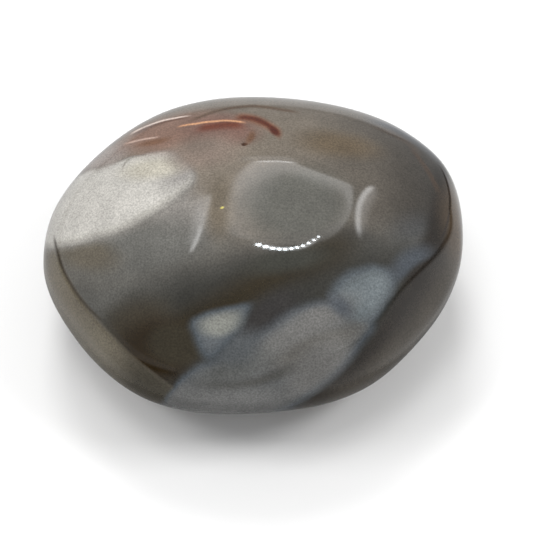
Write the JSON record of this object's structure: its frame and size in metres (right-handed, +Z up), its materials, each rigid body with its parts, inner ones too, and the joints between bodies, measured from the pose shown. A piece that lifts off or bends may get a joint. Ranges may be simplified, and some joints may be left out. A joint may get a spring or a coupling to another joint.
{
  "type": "agate palm stone",
  "caption": "Oval polished agate palm stone with soft ground facets and a flat rest face underneath.",
  "frame": {"origin": "centre of the stone's footprint: the middle of its box in X and Y, on the plane that it rests on", "axes": "+X along the stone's length towards its blunter end, +Y to the back, +Z up; the facet with the cloudy white figure faces -Y"},
  "size_m": [0.0658, 0.057, 0.0358],
  "materials": {
    "agate": "polished grey-brown agate with white clouds and iron stains"
  },
  "bodies": {
    "root": {"palm_stone": "agate"}
  },
  "joints": []
}
